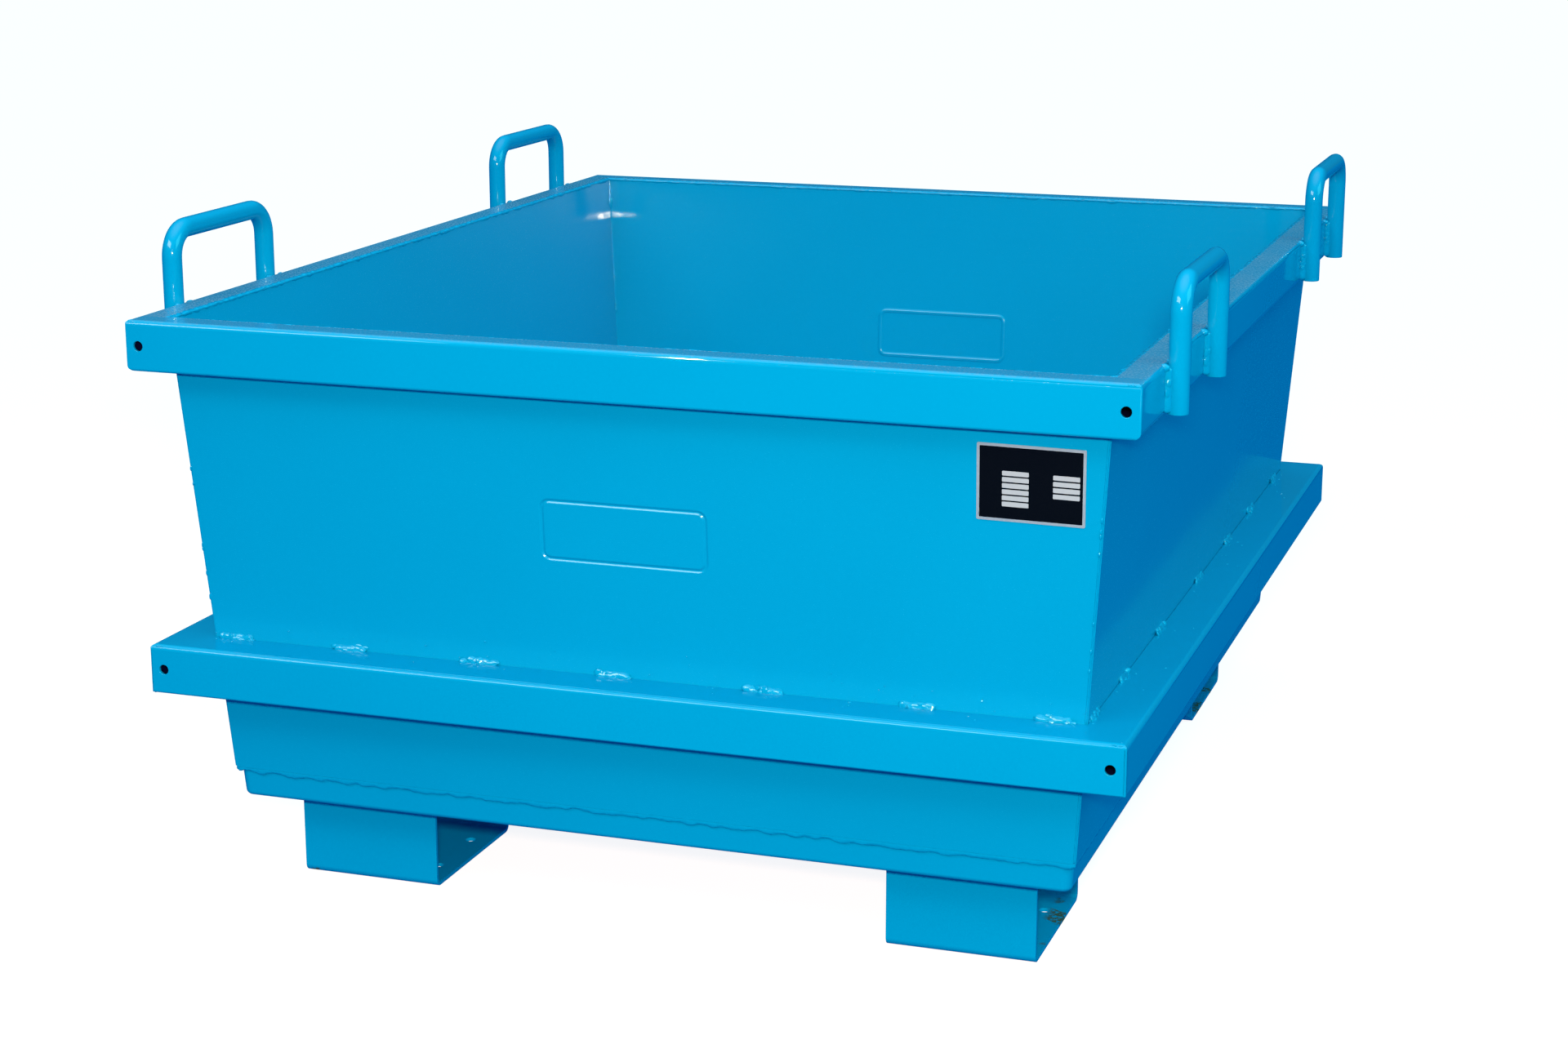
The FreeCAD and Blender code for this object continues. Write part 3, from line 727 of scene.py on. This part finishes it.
def run(chance, start, end, upward, wide, tall, pitch, stray=0.25, tilt=0.3):
    """Overlapping drops from one point to another, strewn about and tilted by chance."""
    start, end = Vector(start), Vector(end)
    along = (end - start).normalized()
    up = across(along, upward)
    side = up.cross(along)
    turn = Matrix((side, up, along)).transposed().to_4x4()
    count = max(1, round((end - start).length / pitch))
    drops = []
    for k in range(count):
        place = start.lerp(end, (k + chance.random()) / count) + side * wide * chance.uniform(-stray, stray)
        askew = turn @ Matrix.Rotation(chance.uniform(-tilt, tilt), 4, chance.choice("XZ"))
        scale = chance.uniform(0.6, 1.1)
        drops.append(drop(chance, place, askew, scale * wide, scale * tall, 1.1 * pitch))
    return drops


def runs_in(node, axis):
    """First and last place of each separate weld of a node along an axis."""
    places = sorted(v.co[axis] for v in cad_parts[node].data.vertices)
    found = [[places[0], places[0]]]
    for place in places:
        if place - found[-1][1] > stitch_gap:
            found.append([place, place])
        found[-1][1] = place
    return found


frame_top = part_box("frame_tube_front")[1].z
wall_x_at_frame = mouth_x - lean * (wall_high.z - frame_top) + sheet
wall_y_at_frame = wall_y - lean * (wall_high.z - frame_top)
stitch_z = frame_top + stitch_rise
for side, (out_x, out_y) in {"front": (0, -1), "right": (1, 0), "back": (0, 1), "left": (-1, 0)}.items():
    chance = random.Random("stitches " + side)
    node = "frame_stitch_welds_" + side
    root_x, root_y = out_x * (wall_x_at_frame + stitch_rise), out_y * (wall_y_at_frame + stitch_rise)
    upward = (out_x, out_y, 0.5)
    drops = []
    for first, last in runs_in(node, 0 if out_y else 1):
        start = (first, root_y, stitch_z) if out_y else (root_x, first, stitch_z)
        end = (last, root_y, stitch_z) if out_y else (root_x, last, stitch_z)
        drops.append(bead(start, end, upward, **stitch_bead))
        drops += run(chance, start, end, upward, **stitch_run)
    joined(drops, "frame_stitch_drops_" + side, [node])

# Drops beside the rim's seam and lumps in the upright corners: weld metal that ran or spattered
# while the walls were joined, left on the steel and painted over.

rim_drops = 50               # to a side
rim_drop_out = 0.0030
rim_drop_sink = 0.0004
rim_drop_stray = (-0.0030, 0.0022)
rim_drop_wide = (0.0012, 0.0030)
rim_drop_tall = 0.0008
rim_drop_long = (0.0015, 0.0060)
lump_heights = (0.29, 0.54)
inner_lump = {"wide": 0.0016, "tall": 0.0016, "long": 0.0035}
inner_lumps = 5              # to a corner
inner_lump_in = 0.0006       # from the seam into the trough
outer_lump = {"wide": 0.0012, "tall": 0.0012, "long": 0.0024}
outer_lumps = 7
outer_lump_out = 0.0004
top_lump = {"wide": 0.0050, "tall": 0.0028, "long": 0.0085}
top_lump_in = 0.0008
top_lump_z = 0.562

chance = random.Random("rim seam")
drops = []
for start, end, out in ring(mouth_x + rim_drop_out, mouth_y + rim_drop_out, seam_top - rim_drop_sink):
    turn = Matrix((out, Vector((0, 0, 1)), out.cross(Vector((0, 0, 1))))).transposed().to_4x4()
    for k in range(rim_drops):
        place = start.lerp(end, chance.uniform(0.01, 0.99)) + out * chance.uniform(*rim_drop_stray)
        wide, long = chance.uniform(*rim_drop_wide), chance.uniform(*rim_drop_long)
        drops.append(drop(chance, place, turn, wide, rim_drop_tall, long))
joined(drops, "rim_seam_drops", [])


def in_corner(sx, sy, y, z, inward):
    """Place in an upright corner at a height, so far in from the seam, whose top is at y."""
    reach = lean * (wall_high.z - z) + inward
    return Vector((sx * (mouth_x - reach), sy * (y - reach), z))


chance = random.Random("corner lumps")
drops = []
for sx in (-1, 1):
    for sy in (-1, 1):
        turn = Matrix.Rotation(-math.pi / 4 * sx * sy, 4, "Z")
        for k in range(inner_lumps):
            place = in_corner(sx, sy, mouth_y, chance.uniform(*lump_heights), inner_lump_in)
            drops.append(drop(chance, place, turn, **inner_lump))
        for k in range(outer_lumps):
            place = in_corner(sx, sy, wall_y, chance.uniform(*lump_heights), -outer_lump_out)
            drops.append(drop(chance, place, turn, **outer_lump))
        place = in_corner(sx, sy, mouth_y, top_lump_z, top_lump_in)
        drops.append(drop(chance, place, turn, **top_lump))
joined(drops, "corner_lumps", [])

# Welds of the crane eyes: an upright run on each side of each leg, from the rim's lower edge to its
# top, with a thick drop over the upper end where the welder stopped.

eye_bead = {"wide": 0.0040, "tall": 0.0019, "rough": 0.0008}
eye_run = {"wide": 0.0030, "tall": 0.0012, "pitch": 0.0036, "stray": 0.30}
eye_cap = {"wide": 0.0046, "tall": 0.0046, "long": 0.0038}
eye_bead_out = 0.0023        # from the rim's face
eye_bead_in = 0.0002         # into the flank of the leg
eye_bead_margins = (0.002, 0.003)      # at the lower and at the upper end
eye_run_out = 0.0006         # from the bead, away from the rim and from the leg
eye_run_aside = 0.0011
eye_run_margins = (0.014, 0.015)
eye_cap_in = 0.0012
eye_cap_aside = 0.0016
eye_cap_drop = 0.0032
eye_weld_rise = 0.0002       # above the top of the rim's seam

chance = random.Random("eye welds")
eye_weld_top = seam_top + eye_weld_rise
drops = []
for sx in (-1, 1):
    for end in (-1, 1):
        for leg in (leg_y, far_leg_y):
            for flank in (-1, 1):
                upward = (sx * 0.5, flank * 0.85, 0)
                x = sx * (eye_low.x + eye_bead_out)
                y = -end * leg + flank * (bar / 2 - eye_bead_in)
                low_z, high_z = eye_low.z + eye_bead_margins[0], eye_weld_top - eye_bead_margins[1]
                drops.append(bead((x, y, low_z), (x, y, high_z), upward, **eye_bead))
                x, y = x + sx * eye_run_out, y + flank * eye_run_aside
                low_z, high_z = eye_low.z + eye_run_margins[0], eye_weld_top - eye_run_margins[1]
                drops += run(chance, (x, y, low_z), (x, y, high_z), upward, **eye_run)
                cap = (sx * (eye_low.x - eye_cap_in), y + flank * eye_cap_aside, eye_weld_top - eye_cap_drop)
                drops.append(drop(chance, Vector(cap), Matrix(), **eye_cap))
joined(drops, "crane_eye_drops", ["crane_eye_welds"])

# Welds of the feet: a run of drops along the top of each flange, in the angle under the pan. Both
# ends of a flange are left bare.

foot_run = {"wide": 0.0030, "tall": 0.0018, "pitch": 0.0055}
foot_run_margin = 0.015
foot_run_out = 0.0006
foot_run_drop = 0.0010

chance = random.Random("foot welds")
drops = []
for sx in (-1, 1):
    for y, out in ((foot_low.y, -1), (foot_high.y, 1), (-foot_high.y, -1), (-foot_low.y, 1)):
        place = (y + out * foot_run_out, foot_high.z - foot_run_drop)
        start = (sx * (foot_low.x + foot_run_margin), *place)
        end = (sx * (foot_high.x - foot_run_margin), *place)
        drops += run(chance, start, end, (0, out, -1), **foot_run)
joined(drops, "foot_drops", ["foot_welds"])

# Welds of the mitres: a thin upright bead at each outer corner of the rim and of the stacking frame,
# which goes on over the round top edge of the tubes and was ground nearly flush.

mitre_bead = 0.0024
mitre_rough = 0.0005
mitre_inset = 0.0026
mitre_flush = 0.92           # share of the bead's size that is left on the bend
mitre_sink = 0.9             # and share of it that lies below the tube's face there
sink_inset = 0.004
foot_inset = 0.0004          # of the drop at the lower end, on the frame
bend_turns = (0.1, 0.4, 0.7, 1.0, 1.3)       # round the top edge, from its outer face, in radians
stray_drops = 4              # beside the upper end of a bead
stray_drop = {"wide": 0.0016, "tall": 0.0010, "long": 0.0010}
stray_reach = (0.002, 0.011)
stray_out = 0.0007
stray_rise = 0.0038

chance = random.Random("mitre welds")
pieces = []
for kind, low_end in (("rim", rim_corner), ("frame", mitre_bead)):
    tube_low, tube_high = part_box(kind + "_tube_right")
    low_z, high_z = tube_low.z + low_end, tube_high.z - tube_edge
    bends = [(tube_edge * (1 - math.cos(turn)), tube_high.z - tube_edge * (1 - math.sin(turn)))
             for turn in bend_turns]
    if kind == "frame":
        bends.append((foot_inset, low_z))
    for sx in (-1, 1):
        for sy in (-1, 1):
            x, y = sx * (tube_high.x - mitre_inset), sy * (tube_high.y - mitre_inset)
            pieces.append(bead((x, y, low_z), (x, y, high_z), (sx, sy, 0),
                               mitre_bead, mitre_bead, mitre_rough))
            for k in range(stray_drops):
                place = (x - sx * chance.uniform(*stray_reach), y + sy * stray_out, high_z + stray_rise)
                pieces.append(drop(chance, Vector(place), Matrix(), **stray_drop))
            for inset, z in bends:
                sunk = mitre_bead * mitre_sink * min(1.0, inset / sink_inset)
                place = Vector((x - sx * inset, y - sy * inset, z - sunk))
                flush = mitre_flush * mitre_bead
                pieces.append(drop(chance, place, Matrix(), flush, flush, mitre_bead))
joined(pieces, "mitre_beads", [])

# Spatter: beads of metal that flew off the arc and stuck to the frame and the walls near the stitch
# welds, and were painted over.

spatter_count = 90
spatter_near = 0.004         # nearest to the wall, and how much further they flew
spatter_flight = 0.030
spatter_size = (0.0006, 0.0014)

chance = random.Random("spatter")
drops = []
for k in range(spatter_count):
    away = spatter_near + spatter_flight * chance.random() ** 2
    x = chance.uniform(-wall_x_at_frame, wall_x_at_frame)
    place = Vector((x, -wall_y_at_frame - away, frame_top))
    if k % 3 == 1:
        place = Vector((x, -wall_y_at_frame - lean * away, frame_top + away))
    if k % 3 == 2:
        place = Vector((wall_x_at_frame + away, chance.uniform(-wall_y_at_frame, wall_y_at_frame), frame_top))
    size = chance.uniform(*spatter_size)
    drops.append(drop(chance, place, Matrix(), size, size, 0.5 * size))
joined(drops, "weld_spatter", [])
bpy.data.objects.remove(ball)

# Type plate: a thin printed aluminium plate on the front wall, black with a bare silver border and
# blank light grey fields, raised by the thickness of the print, where figures would be stamped.

plate_sheet = 0.001
plate_corner = 0.0015
plate_border = 0.0026
plate_tilt = 0.010           # fixed a little askew, and off its place
plate_shift = 0.0010
plate_lift = 0.0006
print_rise = 0.00012
print_corner = 0.0005
field_size = (0.0245, 0.0044)
field_round = 0.0008
field_columns = ((-0.0142, 0.0091, 0.00576, 6), (0.0325, 0.0085, 0.00582, 4))     # middle, top, pitch, number
silver_shades = ((0.46, 0.46, 0.50, 1.0), (0.60, 0.59, 0.62, 1.0))
black_shades = ((0.0, 0.0, 0.0, 1.0), (0.004, 0.004, 0.006, 1.0))
grey_shades = ((0.42, 0.38, 0.42, 1.0), (0.49, 0.44, 0.48, 1.0))

silver = grained("bare_aluminium", per_metre=700.0, detail=3.0, shades=silver_shades, gloss=0.42,
                 dullness=0.2, depth=0.00002, Metallic=0.85)
black = grained("black_print", per_metre=1500.0, detail=2.0, shades=black_shades, gloss=0.18,
                dullness=0.1, depth=0.00001, Specular_IOR_Level=0.15)
grey = grained("blank_field", per_metre=1200.0, detail=2.0, shades=grey_shades, gloss=0.45,
               dullness=0.15, depth=0.00001)

plate_low, plate_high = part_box("type_plate")
plate_middle = (plate_low + plate_high) / 2
plate_width = plate_high.x - plate_low.x
plate_height = (plate_high.z - plate_low.z) * slant
print_width, print_height = plate_width - 2 * plate_border, plate_height - 2 * plate_border
plate = begin(bpy.ops.mesh.primitive_plane_add)
bpy.ops.mesh.delete(type="VERT")
for coat in (silver, black, grey):
    plate.data.materials.append(coat.material)
rounded_blank(plate_width, plate_height, plate_corner, 0)
rounded_blank(print_width, print_height, print_corner, 0, 0, -print_rise)
plate.active_material_index = 1
bpy.ops.object.material_slot_assign()
plate.active_material_index = 2
for middle, top, pitch, count in field_columns:
    for k in range(count):
        rounded_blank(*field_size, field_round, top - k * pitch, middle, -2 * print_rise)
        bpy.ops.object.material_slot_assign()
bpy.ops.object.mode_set(mode="OBJECT")
plate.matrix_world = Matrix.Rotation(plate_tilt, 4, "Y")
bpy.ops.object.transform_apply(location=True, rotation=True, scale=True)
bpy.ops.object.mode_set(mode="EDIT")
lean_back(plate_low.y + (plate_high.y - plate_low.y - plate_sheet) / 2, plate_middle.z + plate_lift)
modify("SOLIDIFY", thickness=plate_sheet, offset=-1.0)
plate.matrix_world = Matrix.Translation((plate_middle.x + plate_shift, 0, 0))
settled(plate, "type_plate_sheet", [silver, black, grey], ["type_plate"])

# Ground and backdrop: a wide pale floor under a white dome. The floor takes light and shadows, but
# the dim hall round them is what the gloss of the container mirrors, as in the photograph.

floor_size = 36.0
floor_colour = (0.34, 0.20, 0.16, 1.0)
floor_glow = 0.90
white = (1.0, 1.0, 1.0, 1.0)

bpy.ops.mesh.primitive_plane_add(size=floor_size)
floor = bpy.context.object
floor.name = "pale_floor"
ground = Finish("pale_floor", Roughness=0.9)
ground.surface({"Base Color": floor_colour, "Emission Color": white, "Emission Strength": floor_glow})
floor.data.materials.append(ground.material)
bpy.ops.mesh.primitive_uv_sphere_add(segments=48, ring_count=24, radius=floor_size / 2)
dome = bpy.context.object
dome.name = "white_dome"
sky = Finish("white_dome", Roughness=1.0)
sky.surface({"Base Color": (0, 0, 0, 1), "Emission Color": white, "Emission Strength": 1.0})
dome.data.materials.append(sky.material)
dome.visible_shadow = False
for stage in (floor, dome):
    stage.visible_glossy = False
    stage.visible_diffuse = False

# Surroundings: a hall with a light ceiling, a dim horizon and a blue gleam from below, seen only in
# the gloss of the enamel and as soft light from all sides.

hall_colours = ((0.49, (0.0, 0.13, 0.43, 1)), (0.51, (0.01, 0.14, 0.25, 1)), (0.63, (0.01, 0.16, 0.27, 1)),
                (0.80, (0.02, 0.75, 1.12, 1)), (0.90, (0.06, 1.05, 1.42, 1)), (1.0, (0.80, 1.25, 1.40, 1)))

world = bpy.data.worlds.new("hall")
world.use_nodes = True
bpy.context.scene.world = world
hall = Nodes(world.node_tree)
way = hall.node("ShaderNodeTexCoord", out="Generated")
rise = hall.node("ShaderNodeSeparateXYZ", None, {0: way}, out="Z")
shade = hall.node("ShaderNodeValToRGB", {"stops": hall_colours}, {0: rise * 0.5 + 0.5})
hall.join(hall.tree.nodes["Background"], {"Color": shade})

# Light: a small soft lamp close over the camera, and a long softbox in front on the left whose
# mirror image is the bright line along the upper edge of the tubes. Another softbox on the right
# lights the side tubes and the inside of the left wall.

camera_place = Vector((0.9780, -2.9763, 1.0748))
lamp_rise = Vector((0, 0, 0.13))
strip_place = (-1.15, -2.9, 2.5)
strip_aim = (0, -0.55, 0.5)
strip_size = (2.2, 0.85)


def softbox(name, place, aim, size, power, colour):
    """A rectangular lamp at a place, turned to what it lights."""
    bpy.ops.object.light_add(type="AREA", location=place)
    lamp = bpy.context.object
    lamp.name = name
    lamp.data.shape = "RECTANGLE"
    lamp.data.size, lamp.data.size_y = size
    lamp.data.energy = power
    lamp.data.color = colour
    lamp.rotation_euler = (Vector(aim) - lamp.location).to_track_quat("-Z", "Y").to_euler()
    return lamp


softbox("camera_lamp", camera_place + lamp_rise, aim=(0.1, -0.5, 0.35), size=(0.18, 0.12),
        power=77.0, colour=(1.0, 1.0, 0.76))
softbox("long_softbox", strip_place, strip_aim, strip_size, power=28.0, colour=(1.0, 1.0, 0.8))
gloss_strip = softbox("gloss_strip", strip_place, strip_aim, strip_size, power=34.0, colour=(1.0, 1.0, 1.0))
gloss_strip.visible_diffuse = False
softbox("side_softbox", (4.0, -0.5, 2.6), aim=(0.4, 0, 0.4), size=(3.0, 2.0),
        power=55.0, colour=(0.1, 1.0, 0.86))

# Camera: at the photograph's place, found from the edges of the rim and of the stacking frame. It
# looks a little down, and from the right of the wall with the plate.

camera_down = math.radians(14.089)
camera_left = math.radians(18.681)
camera_lens = 65.48

bpy.ops.object.camera_add(location=camera_place, rotation=(math.pi / 2 - camera_down, 0, camera_left))
camera = bpy.context.object
camera.data.sensor_width = 36.0
camera.data.lens = camera_lens
bpy.context.scene.camera = camera
bpy.context.scene.view_settings.view_transform = "Standard"
